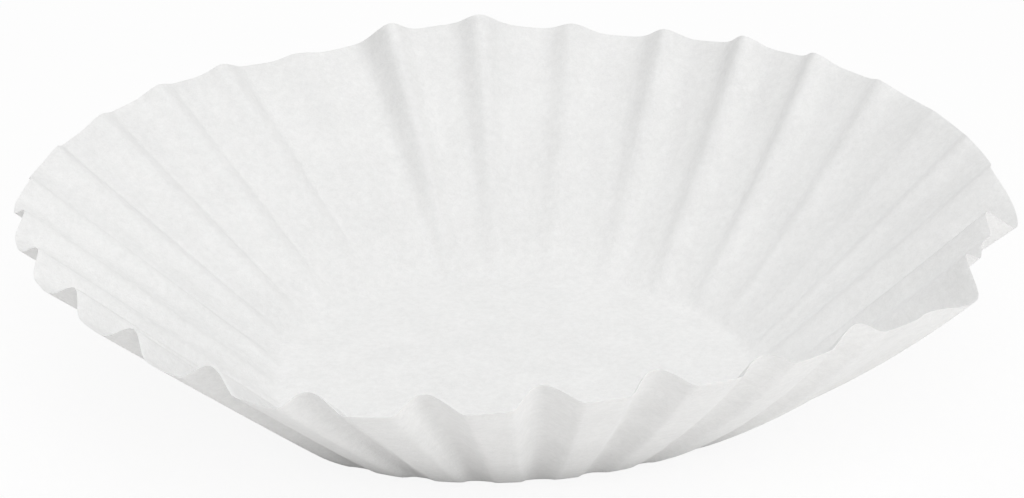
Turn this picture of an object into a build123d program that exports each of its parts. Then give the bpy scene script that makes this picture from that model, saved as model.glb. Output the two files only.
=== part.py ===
"""Basket coffee filter: one round of creped paper pressed into a flat floor and a fluted, flaring wall."""

import os
from math import cos, exp, pi, radians, sin, sqrt, tan

from build123d import *

# Driving dimensions, in millimetres and degrees
BLANK_DIAMETER = 247.65  # the round of paper before it is pressed
BASE_DIAMETER = 107.95  # the flat floor
PAPER = 0.2  # thickness of the sheet
FLUTES = 30  # flutes pressed into the wall
LEAN = 39.5  # slope of the opened wall above the table
FIRST_CREST = -2.2  # azimuth of the first inward fold, from +X
CREST_PINCH = 0.25  # how much narrower the inward folds are than the outward ones

# How the opened paper has settled, all the way round: (waves, degrees, azimuth of a peak)
LEAN_DRIFT = ((1, 2.0, 10),)
FLUTE_DRIFT = ((1, 2.2, 30), (2, 0.9, 143), (3, 0.9, 0))

# How it has settled in places: (azimuth, half-width in degrees, change)
LEAN_CHANGES = (  # degrees that the wall stands up, or falls back
    (46, 9, 1.2),
    (60, 10, 1.0),
    (78, 9, -2.2),
    (101, 8, 3.2),
    (118, 9, -3.8),
    (165, 12, -1.5),
    (197, 7, 0.8),
    (224, 12, 3.2),
    (252, 5, -0.5),
    (288, 14, 1.8),
    (312, 5, 1.5),
    (330, 5, -2.5),
    (343, 5, 3.0),
    (353, 4, -3.0),
)
DEPTH_CHANGES = (  # share by which the flutes there are deeper, or pulled flat
    (6, 8, -0.9),
    (82, 6, -0.4),
    (120, 6, -0.4),
    (325, 5, -0.9),
    (336, 4, 0.6),
    (342, 3, -1.0),
    (348, 4, 0.6),
)
BASE_CHANGES = (  # millimetres that the floor's edge is pulled out, or in
    (228, 12, 4.5),
    (250, 12, 1.6),
    (292, 12, -0.8),
)
BELLY_CHANGES = ((320, 15, 3.2),)  # millimetres that the wall sags outwards half-way up
FOOT_CHANGES = ((40, 22, -7), (155, 28, -6), (295, 20, 2.5))  # degrees from a flute's rim round to its foot
SPREAD_FLUTE = (354, 11, 3.2)  # the flute that has sprung wide, and the degrees it pushes its folds apart

# Lines that shape the sheet
RIBS = 10  # ribs along each flute, with straight strips of paper between them
RIB_CROWDING = 0.35  # how much closer the ribs stand on the inward fold
RIB_SHARES = (0, 0.15, 0.5, 1)  # points on a rib, as shares of the slant up to the rim

blank_radius = BLANK_DIAMETER / 2
base_radius = BASE_DIAMETER / 2


def drift(waves, turn):
    """Slow change round the filter, in degrees."""
    return sum(size * cos(radians(count * (turn - peak))) for count, size, peak in waves)


def offset_from(turn, azimuth):
    """Signed degrees from an azimuth, the short way round."""
    return (turn - azimuth + 180) % 360 - 180


def local(changes, turn):
    """Sum of the smooth local changes that are felt at this azimuth."""
    return sum(size * exp(-((offset_from(turn, place) / width) ** 2) / 2) for place, width, size in changes)


def spread(turn):
    """Degrees by which the sprung flute pushes the paper aside."""
    azimuth, width, size = SPREAD_FLUTE
    aside = offset_from(turn, azimuth) / width
    return size * aside * exp((1 - aside**2) / 2)


def lean_at(turn):
    """Slope of the wall, without its flutes, in radians."""
    return radians(LEAN + drift(LEAN_DRIFT, turn) + local(LEAN_CHANGES, turn))


def floor_edge(turn):
    """Distance from the middle of the floor to where the wall turns up."""
    return base_radius + local(BASE_CHANGES, turn)


def flute_swing(turn, share):
    """Half-depth of a flute: it takes up the paper that the narrower circle can't hold."""
    edge = floor_edge(turn)
    rim_radius = edge + (blank_radius - edge) * cos(lean_at(turn))
    excess = blank_radius / rim_radius - 1
    rim_swing = 2 * rim_radius / FLUTES * sqrt(excess / (1 + 4 * CREST_PINCH**2))
    return rim_swing * (1 + local(DEPTH_CHANGES, turn)) * 2 * share / (1 + share)


def fold(flute):
    """Height of the wave over the middle of the wall, as a share of its swing."""
    return cos(2 * pi * flute) + CREST_PINCH * cos(4 * pi * flute)


def outer_point(flute, share):
    """Point on the outside of the wall, counted in flutes round it and in shares of its slant."""
    turn = 360 * flute / FLUTES
    lean = lean_at(turn)
    edge = floor_edge(turn)
    climbed = share * (blank_radius - edge)
    belly = local(BELLY_CHANGES, turn) * 4 * share * (1 - share)
    lift = flute_swing(turn, share) * fold(flute) - belly
    radius = edge + climbed * cos(lean) - lift * sin(lean)
    height = climbed * sin(lean) + lift * cos(lean)
    foot_turn = (1 - share) * local(FOOT_CHANGES, turn)
    azimuth = radians(FIRST_CREST + turn + drift(FLUTE_DRIFT, turn) + spread(turn) + foot_turn)
    return Vector(radius * cos(azimuth), radius * sin(azimuth), height)


def inner_point(flute, share):
    """Point on the inside, one paper thickness square to the wall, or in the corner above the floor."""
    foot = outer_point(flute, share)
    if share == 0:
        turn = 360 * flute / FLUTES
        inset = PAPER * tan(lean_at(turn) / 2) / floor_edge(turn)
        return Vector(foot.X * (1 - inset), foot.Y * (1 - inset), PAPER)
    step = 0.001
    round_wall = outer_point(flute + step, share) - outer_point(flute - step, share)
    up_wall = outer_point(flute, share + step) - outer_point(flute, share - step)
    return foot - round_wall.cross(up_wall).normalized() * PAPER


def rib(point_at, flute):
    """Smooth line up the wall, from the floor to the rim."""
    with BuildLine() as line:
        Spline(*[point_at(flute, share) for share in RIB_SHARES])
    return line.edge()


def loop(points):
    """Short straight edges from each point to the next, back to the first."""
    return [Edge.make_line(start, end) for start, end in zip(points, points[1:] + points[:1])]


def strips(lines, next_lines):
    """One ruled face between each line and its neighbour."""
    return [Face.make_surface_from_curves(line, beside) for line, beside in zip(lines, next_lines)]


def rib_place(index):
    """Where a rib stands, in flutes round the wall."""
    flute = index / RIBS
    return flute - RIB_CROWDING * sin(2 * pi * flute) / (2 * pi)


places = [rib_place(index) for index in range(FLUTES * RIBS)]
outer_ribs = [rib(outer_point, place) for place in places]
inner_ribs = [rib(inner_point, place) for place in places]

# The two sides of the sheet, closed by its cut edge at the rim and by the two sides of the floor
outer_wall = strips(outer_ribs, outer_ribs[1:] + outer_ribs[:1])
inner_wall = strips(inner_ribs, inner_ribs[1:] + inner_ribs[:1])
cut_edge = strips(loop([line @ 1 for line in outer_ribs]), loop([line @ 1 for line in inner_ribs]))
floor_sides = [Face(Wire(loop([line @ 0 for line in ribs]))) for ribs in (outer_ribs, inner_ribs)]

with BuildPart() as coffee_filter:
    add(Solid(Shell(outer_wall + inner_wall + cut_edge + floor_sides)))

coffee_filter.part.label = "coffee_filter"
os.makedirs("parts", exist_ok=True)
export_step(coffee_filter.part, "parts/coffee_filter.step")
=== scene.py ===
import math

import bpy
import numpy as np
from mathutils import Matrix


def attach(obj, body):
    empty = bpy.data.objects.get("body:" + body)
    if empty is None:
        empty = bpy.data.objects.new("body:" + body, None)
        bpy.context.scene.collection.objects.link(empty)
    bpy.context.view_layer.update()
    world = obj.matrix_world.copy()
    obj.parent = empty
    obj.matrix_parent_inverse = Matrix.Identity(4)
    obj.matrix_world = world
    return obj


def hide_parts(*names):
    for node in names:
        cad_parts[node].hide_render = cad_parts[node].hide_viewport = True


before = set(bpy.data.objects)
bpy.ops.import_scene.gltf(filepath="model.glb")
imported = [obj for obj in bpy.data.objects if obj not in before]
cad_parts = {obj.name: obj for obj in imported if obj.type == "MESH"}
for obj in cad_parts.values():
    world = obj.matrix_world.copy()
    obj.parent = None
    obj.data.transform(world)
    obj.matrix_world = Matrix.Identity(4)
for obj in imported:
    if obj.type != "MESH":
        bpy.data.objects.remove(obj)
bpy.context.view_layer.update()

# The sheet, in millimetres and degrees
BLANK_DIAMETER = 247.65  # the round of paper before it is pressed
BASE_DIAMETER = 107.95  # the flat floor
PAPER = 0.2  # thickness of the sheet
FLUTES = 30  # flutes pressed into the wall
LEAN = 39.5  # slope of the opened wall above the table
FIRST_CREST = -2.2  # azimuth of the first inward fold, from +X
CREST_PINCH = 0.34  # how much narrower the inward folds are than the outward ones
CREST_SNAP = 0.04  # how much sharper still their tops are

# Rounded tongues with flat bulges between them, which the folds become along the front
TONGUE_WIDTH = 0.52  # share of a flute that a tongue takes up
TONGUE_HEIGHT = 2.0  # height of a tongue above the bulges, in swings of the flute
TONGUE_DROP = 1.2  # depth of the bulges below the middle of the wall, in the same
TONGUE_CORNER = 0.1  # how softly a tongue runs into the bulge beside it
TONGUE_GROWTH = 0.45  # power of the slant by which a tongue deepens up the wall

# How the opened paper has settled, all the way round: (waves, degrees, azimuth of a peak)
LEAN_DRIFT = ((1, 2.0, 10),)
FLUTE_DRIFT = ((1, 2.2, 30), (2, 0.9, 143), (3, 0.9, 0))

# How it has settled in places: (azimuth, half-width in degrees, change)
LEAN_CHANGES = (  # degrees that the wall stands up, or falls back
    (46, 9, 1.2),
    (60, 10, 1.0),
    (78, 9, -2.2),
    (101, 8, 3.2),
    (118, 9, -3.8),
    (165, 12, -1.5),
    (197, 7, 0.8),
    (224, 12, 3.2),
    (252, 5, -0.5),
    (288, 14, 1.8),
    (312, 5, 1.5),
    (330, 5, -2.5),
    (343, 5, 3.0),
    (353, 4, -3.0),
)
DEPTH_CHANGES = (  # share by which the flutes there are deeper, or pulled flat
    (22, 15, -0.85),
    (82, 6, -0.2),
    (108, 4, 0.5),
    (120, 6, -0.4),
    (148, 22, -0.35),
    (306, 8, -0.4),
    (325, 5, -0.9),
    (336, 4, 0.6),
    (342, 3, -1.0),
    (348, 4, 0.6),
)
BASE_CHANGES = (  # millimetres that the floor's edge is pulled out, or in
    (228, 12, 4.5),
    (250, 12, 1.6),
    (285, 30, -1.2),
    (292, 12, -0.8),
)
BELLY_CHANGES = ((320, 15, 3.2),)  # millimetres that the wall sags outwards half-way up
FOOT_CHANGES = ((40, 22, -7), (120, 12, -2), (295, 20, 2.5))  # degrees from a flute's rim round to its foot
SKEW_CHANGES = ((150, 28, -0.45), (275, 30, 0.35), (310, 9, -0.5))  # how far a fold tips to one side
TONGUE_CHANGES = ((280, 30, 1.6),)  # how far the folds have become tongues, full at 1
SPREAD_FLUTE = (354, 11, 3.2)  # the flute that has sprung wide, and the degrees it pushes its folds apart

# Thin creases beside the folds: (flutes round from the first crest, half-width in flutes,
# height in millimetres, share of the slant where it starts, share where it ends)
CREASES = (
    (7.72, 0.07, 0.5, 0.3, 1.1),
    (9.7, 0.09, -0.3, 0.2, 1.1),
    (10.7, 0.09, -0.6, 0.1, 1.1),
    (11.7, 0.09, -0.6, 0.05, 1.1),
    (12.7, 0.09, -0.6, 0.05, 1.1),
    (13.7, 0.09, -0.6, 0.05, 1.1),
    (14.7, 0.09, -0.5, 0.05, 0.9),
)
CREASE_FADE = 0.2  # share of the slant over which a crease comes and goes

# Dents: (flutes round, half-width in flutes, share of the slant, half-length in shares, millimetres inwards)
DENTS = (
    (6.0, 0.3, 0.22, 0.2, -1.4),
    (5.6, 0.16, 0.55, 0.13, -0.8),
)

# Where the sheet bends and ends, in millimetres
CORNER = 0.6  # distance over which the floor turns up into the wall
TABLE_TOUCH = 0.15  # height over which the table presses the foot of a fold flat
TABLE_REACH = 15  # distance past the floor's edge in which it does
CUT_WIDTH = 1.5  # distance from the cut edge over which the paper thins
CUT_THINNING = 0.85  # share of its thickness that the cut edge has lost

# The mesh of the sheet, in millimetres and in points
COLUMNS = 600  # points on each ring of the wall
WALL_ROWS = 55  # rings up the wall
FLOOR_STEP = 1.2  # least distance between two rings of the floor
FLOOR_STRETCH = 2.2  # how many times its points' spacing a ring of the floor may stand away
CROWDED = 0.36  # spacing of the points below which every second one is left out
FEWEST = 75  # points on a ring that keeps them all
MIDDLE = 1.5  # radius of the floor inside the last ring

MM = 0.001
blank_radius = BLANK_DIAMETER / 2
base_radius = BASE_DIAMETER / 2


def offset_from(turn, azimuth):
    """Signed degrees from an azimuth, the short way round."""
    return (turn - azimuth + 180) % 360 - 180


def flutes_from(flute, place):
    """Signed flutes from a place on the wall, the short way round."""
    return (flute - place + FLUTES / 2) % FLUTES - FLUTES / 2


def drift(waves, turn):
    """Slow change round the filter, in degrees."""
    return sum(size * np.cos(np.radians(count * (turn - peak))) for count, size, peak in waves)


def local(changes, turn):
    """Sum of the smooth local changes that are felt at this azimuth."""
    total = 0 * turn
    for azimuth, width, size in changes:
        total = total + size * np.exp(-((offset_from(turn, azimuth) / width) ** 2) / 2)
    return total


def spread(turn):
    """Degrees by which the sprung flute pushes the paper aside."""
    azimuth, width, size = SPREAD_FLUTE
    aside = offset_from(turn, azimuth) / width
    return size * aside * np.exp((1 - aside**2) / 2)


def ease(value, start, end):
    """Smooth step from 0 at start to 1 at end."""
    share = np.clip((value - start) / (end - start), 0, 1)
    return share * share * (3 - 2 * share)


def lean_at(turn):
    """Slope of the wall, without its flutes, in radians."""
    return np.radians(LEAN + drift(LEAN_DRIFT, turn) + local(LEAN_CHANGES, turn))


def floor_edge(turn):
    """Millimetres from the middle of the floor to where the wall turns up."""
    return base_radius + local(BASE_CHANGES, turn)


def tongue_share(turn):
    """How far the folds have become tongues: 0 for narrow folds, 1 for tongues."""
    return np.minimum(local(TONGUE_CHANGES, turn), 1)


def flute_swing(turn, share):
    """Half-depth of a flute: it takes up the paper that the narrower circle can't hold."""
    edge = floor_edge(turn)
    rim_radius = edge + (blank_radius - edge) * np.cos(lean_at(turn))
    excess = blank_radius / rim_radius - 1
    paper_in_wave = 1 + 4 * CREST_PINCH**2 + 9 * CREST_SNAP**2
    rim_swing = 2 * rim_radius / FLUTES * np.sqrt(excess / paper_in_wave)
    growth = np.sqrt(share * (1 + share) / 2)
    growth = growth + tongue_share(turn) * (share**TONGUE_GROWTH - growth)
    return rim_swing * (1 + local(DEPTH_CHANGES, turn)) * growth


def fold(flute):
    """Height of the wave over the middle of the wall: narrow folds, or rounded tongues on flat bulges."""
    turn = 360 * flute / FLUTES
    wave = 2 * np.pi * flute
    wave = wave + local(SKEW_CHANGES, turn) * (np.cos(wave) - 1)
    narrow = np.cos(wave) + CREST_PINCH * np.cos(2 * wave) + CREST_SNAP * np.cos(3 * wave)
    across = wave / (2 * np.pi) - np.round(wave / (2 * np.pi))
    arch = np.cos(np.pi * across / TONGUE_WIDTH)
    tongue = TONGUE_HEIGHT * (arch + np.sqrt(arch**2 + TONGUE_CORNER**2)) / 2 - TONGUE_DROP
    return narrow + tongue_share(turn) * (tongue - narrow)


def creases(flute, share):
    """Millimetres that the small creases add to the wall's height."""
    total = 0 * flute
    for place, width, height, start, end in CREASES:
        aside = flutes_from(flute, place) / width
        along = ease(share, start, start + CREASE_FADE) * (1 - ease(share, end - CREASE_FADE, end))
        total = total + height * np.exp(-(aside**2)) * along
    return total


def dents(flute, share):
    """Millimetres that the dents add to the wall's height."""
    total = 0 * flute
    for place, width, middle, length, height in DENTS:
        aside = flutes_from(flute, place) / width
        along = (share - middle) / length
        total = total + height * np.exp(-(aside**2 + along**2) / 2)
    return total


def outer_points(flute, out):
    """Points of the outside, from flutes round the sheet and millimetres out on the flat blank."""
    turn = 360 * flute / FLUTES
    lean = lean_at(turn)
    edge = floor_edge(turn)
    past_floor = out - edge
    climbed = CORNER * np.logaddexp(0, past_floor / CORNER)
    share = climbed / (blank_radius - edge)
    turned_up = 1 / (1 + np.exp(-past_floor / CORNER))
    belly = local(BELLY_CHANGES, turn) * 4 * share * (1 - share)
    lift = flute_swing(turn, share) * fold(flute) + creases(flute, share) + dents(flute, share) - belly
    lift = lift * turned_up
    radius = out - climbed * (1 - np.cos(lean)) - lift * np.sin(lean)
    height = climbed * np.sin(lean) + lift * np.cos(lean)
    pressed = TABLE_TOUCH * np.logaddexp(0, height / TABLE_TOUCH)
    height = np.where(past_floor < TABLE_REACH, pressed, height)
    foot_turn = (1 - share) * local(FOOT_CHANGES, turn)
    azimuth = np.radians(FIRST_CREST + turn + drift(FLUTE_DRIFT, turn) + spread(turn) + foot_turn)
    return np.stack([radius * np.cos(azimuth), radius * np.sin(azimuth), height], axis=-1)


def inner_points(flute, out):
    """Points of the inside, one paper thickness square to the outside, thinner at the cut edge."""
    step_round, step_out = 0.01, 0.1
    across = outer_points(flute + step_round, out) - outer_points(flute - step_round, out)
    outwards = outer_points(flute, out + step_out) - outer_points(flute, out - step_out)
    square = np.cross(across, outwards)
    square /= np.maximum(np.linalg.norm(square, axis=-1, keepdims=True), 1e-9)
    thickness = PAPER * (1 - CUT_THINNING * ease(out, blank_radius - CUT_WIDTH, blank_radius))
    return outer_points(flute, out) - square * thickness[:, None]


def blank_rings():
    """Rings of the flat blank from rim to middle: millimetres out, and points on the ring."""
    wall = blank_radius - base_radius
    rings = [(base_radius + wall * row / WALL_ROWS, COLUMNS) for row in range(WALL_ROWS, -1, -1)]
    out, count = base_radius, COLUMNS
    while out > 2 * MIDDLE:
        out -= max(FLOOR_STEP, FLOOR_STRETCH * 2 * np.pi * out / count)
        if 2 * np.pi * out / count < CROWDED and count % 2 == 0 and count > FEWEST:
            count //= 2
        if out > MIDDLE:
            rings.append((out, count))
    return rings


def plain_faces(faces):
    """Faces as tuples of plain whole numbers."""
    return [tuple(int(vertex) for vertex in face) for face in faces]


def side_of_sheet(points_at, start):
    """Vertices and faces of one side of the sheet, with the numbers of its rim's vertices."""
    vertices, faces, rows = [], [], []
    centre = start
    for out, count in blank_rings():
        flute = np.arange(count) * FLUTES / count
        vertices.append(points_at(flute, np.full(count, out)))
        rows.append(np.arange(count) + centre)
        centre += count
    vertices.append(vertices[-1].mean(axis=0, keepdims=True))
    for wide, narrow in zip(rows, rows[1:]):
        beside = np.roll(narrow, -1)
        if len(wide) == len(narrow):
            faces += zip(wide, np.roll(wide, -1), beside, narrow)
        else:
            left, mid, right = wide[0::2], wide[1::2], np.roll(wide, -2)[0::2]
            faces += [*zip(left, mid, narrow), *zip(mid, beside, narrow), *zip(mid, right, beside)]
    last = rows[-1]
    faces += zip(last, np.roll(last, -1), np.full(len(last), centre))
    return np.vstack(vertices), plain_faces(faces), rows[0]


def make_filter():
    """The pressed sheet: its two sides and the cut edge that joins them at the rim."""
    outer, outer_faces, outer_rim = side_of_sheet(outer_points, 0)
    inner, inner_faces, inner_rim = side_of_sheet(inner_points, len(outer))
    inside_out = [face[::-1] for face in inner_faces]
    cut_edge = plain_faces(zip(outer_rim, inner_rim, np.roll(inner_rim, -1), np.roll(outer_rim, -1)))
    mesh = bpy.data.meshes.new("coffee_filter_paper")
    mesh.from_pydata((np.vstack([outer, inner]) * MM).tolist(), [], outer_faces + inside_out + cut_edge)
    mesh.validate()
    mesh.shade_smooth()
    mesh.set_sharp_from_angle(angle=math.radians(60))
    piece = bpy.data.objects.new("coffee_filter_paper", mesh)
    bpy.context.scene.collection.objects.link(piece)
    return piece


class Value:
    """A socket in a node tree: arithmetic on it adds Math nodes, and node() adds any other node."""

    def __init__(self, tree, socket=None):
        self.tree = tree
        self.socket = socket

    def node(self, kind, settings, sockets, output=0):
        """A new node, with its settings made first, then the values or links of its sockets."""
        made = self.tree.nodes.new("ShaderNode" + kind)
        for name, setting in settings.items():
            setattr(made, name, setting)
        for name, given in sockets.items():
            if isinstance(given, Value):
                self.tree.links.new(given.socket, made.inputs[name])
            else:
                made.inputs[name].default_value = given
        return Value(self.tree, made.outputs[output] if made.outputs else None)

    def maths(self, operation, first, second):
        """A Math node on two numbers or Values."""
        return self.node("Math", {"operation": operation}, {0: first, 1: second})

    def __add__(self, other):
        return self.maths("ADD", self, other)

    def __radd__(self, other):
        return self.maths("ADD", other, self)

    def __mul__(self, other):
        return self.maths("MULTIPLY", self, other)

    def __rmul__(self, other):
        return self.maths("MULTIPLY", other, self)


def new_finish(name):
    """An empty material, and a Value to build its nodes from."""
    material = bpy.data.materials.new(name)
    material.use_nodes = True
    material.node_tree.nodes.clear()
    return material, Value(material.node_tree)


def seen_white(tree):
    """1 for what the camera, a gloss or a glass looks at, and 0 for light on its way to the filter."""
    camera = tree.node("LightPath", {}, {}, "Is Camera Ray")
    gloss = tree.node("LightPath", {}, {}, "Is Glossy Ray")
    glass = tree.node("LightPath", {}, {}, "Is Transmission Ray")
    return camera + gloss + glass


def paper_finish():
    """White creped filter paper: matt, with a fine grain and faint cloudiness, and painted shade in the
    hollows of its crepe.
    """
    material, tree = new_finish("filter_paper")
    place = tree.node("TexCoord", {}, {}, "Object")
    cloud = tree.node("TexNoise", {}, {"Vector": place, "Scale": 90.0, "Detail": 3.0}, "Fac")
    crepe = tree.node(
        "TexNoise",
        {},
        {"Vector": place, "Scale": 650.0, "Detail": 4.0, "Roughness": 0.65},
        "Fac",
    )
    fibre = tree.node("TexNoise", {}, {"Vector": place, "Scale": 2600.0, "Detail": 2.0}, "Fac")
    # The colour greys where the crepe noise is low, the same noise that sinks the bump: painted shade in the
    # crepe's hollows, with the paper's own faint cloudiness and fibre mixed in
    hollow_shade_and_cloud = 0.3 * cloud + 0.5 * crepe + 0.2 * fibre
    grey_for_shade_and_cloud, paper_white = (0.72, 0.72, 0.715, 1), (1.0, 1.0, 0.995, 1)
    colour = tree.node("Mix", {"data_type": "RGBA"}, {0: hollow_shade_and_cloud, 6: grey_for_shade_and_cloud, 7: paper_white}, 2)
    grain = 0.7 * crepe + 0.3 * fibre
    relief = tree.node("Bump", {}, {"Strength": 0.35, "Distance": 0.0004, "Height": grain})
    paper = tree.node("BsdfPrincipled", {}, {"Base Color": colour, "Roughness": 0.95, "Normal": relief})
    tree.node("OutputMaterial", {}, {"Surface": paper})
    return material


def table_finish():
    """Plain white table: nearly full white to the camera, with a faint shadow of the filter."""
    material, tree = new_finish("table")
    matt = tree.node("BsdfDiffuse", {}, {"Color": (0.97, 0.965, 0.96, 1)})
    white = tree.node("Emission", {}, {"Color": (1, 1, 1, 1), "Strength": 1.0})
    both = tree.node("MixShader", {}, {0: 0.9 * seen_white(tree), 1: matt, 2: white})
    tree.node("OutputMaterial", {}, {"Surface": both})
    return material


def make_table():
    """A wide flat table under the filter."""
    half = 4.0
    corners = [(-half, -half, 0), (half, -half, 0), (half, half, 0), (-half, half, 0)]
    mesh = bpy.data.meshes.new("table")
    mesh.from_pydata(corners, [], [(0, 1, 2, 3)])
    mesh.materials.append(table_finish())
    table = bpy.data.objects.new("table", mesh)
    table.location.z = -0.3 * MM
    bpy.context.scene.collection.objects.link(table)
    return table


def light_room():
    """Even white light from all round, full white where the camera sees it."""
    world = bpy.data.worlds.new("white_room")
    world.use_nodes = True
    world.node_tree.nodes.clear()
    tree = Value(world.node_tree)
    fill = 0.4
    strength = fill + (1 - fill) * seen_white(tree)
    room = tree.node("Background", {}, {"Color": (1, 1, 1, 1), "Strength": strength})
    tree.node("OutputWorld", {}, {"Surface": room})
    bpy.context.scene.world = world


def add_lamp(name, place, size, power):
    """A square soft box that faces the filter."""
    lamp = bpy.data.lights.new(name, "AREA")
    lamp.shape = "SQUARE"
    lamp.size = size
    lamp.energy = power
    holder = bpy.data.objects.new(name, lamp)
    holder.location = place
    across, back, up = np.array(place) - (0, 0, 0.02)
    holder.rotation_euler = (math.atan2(math.hypot(across, back), up), 0, math.atan2(across, -back))
    bpy.context.scene.collection.objects.link(holder)


def add_camera():
    """The photograph's view: from the front, a little over the rim."""
    camera = bpy.data.cameras.new("camera")
    camera.sensor_width = 36
    camera.lens = 125.0
    holder = bpy.data.objects.new("camera", camera)
    holder.location = (0, -0.7227, 0.3432)
    holder.rotation_euler = (math.radians(66.62), 0, math.radians(0.07))
    bpy.context.scene.collection.objects.link(holder)
    bpy.context.scene.camera = holder


bpy.context.scene.view_settings.view_transform = "Standard"

paper_filter = make_filter()
paper_filter.data.materials.append(paper_finish())
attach(paper_filter, "root")
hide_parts("coffee_filter")

make_table()

# One low soft box from the right shades the folds of the front, and three high ones light the bowl
light_room()
add_lamp("soft_box_low", (0.72, -0.63, 0.1), 0.3, 1.6)
add_lamp("soft_box_front", (0, -0.7, 0.8), 0.6, 3.3)
add_lamp("soft_box_right", (0.5, -0.6, 0.8), 0.9, 2.7)
add_lamp("soft_box_back", (-0.2, 0.6, 0.9), 0.9, 3.2)
add_camera()
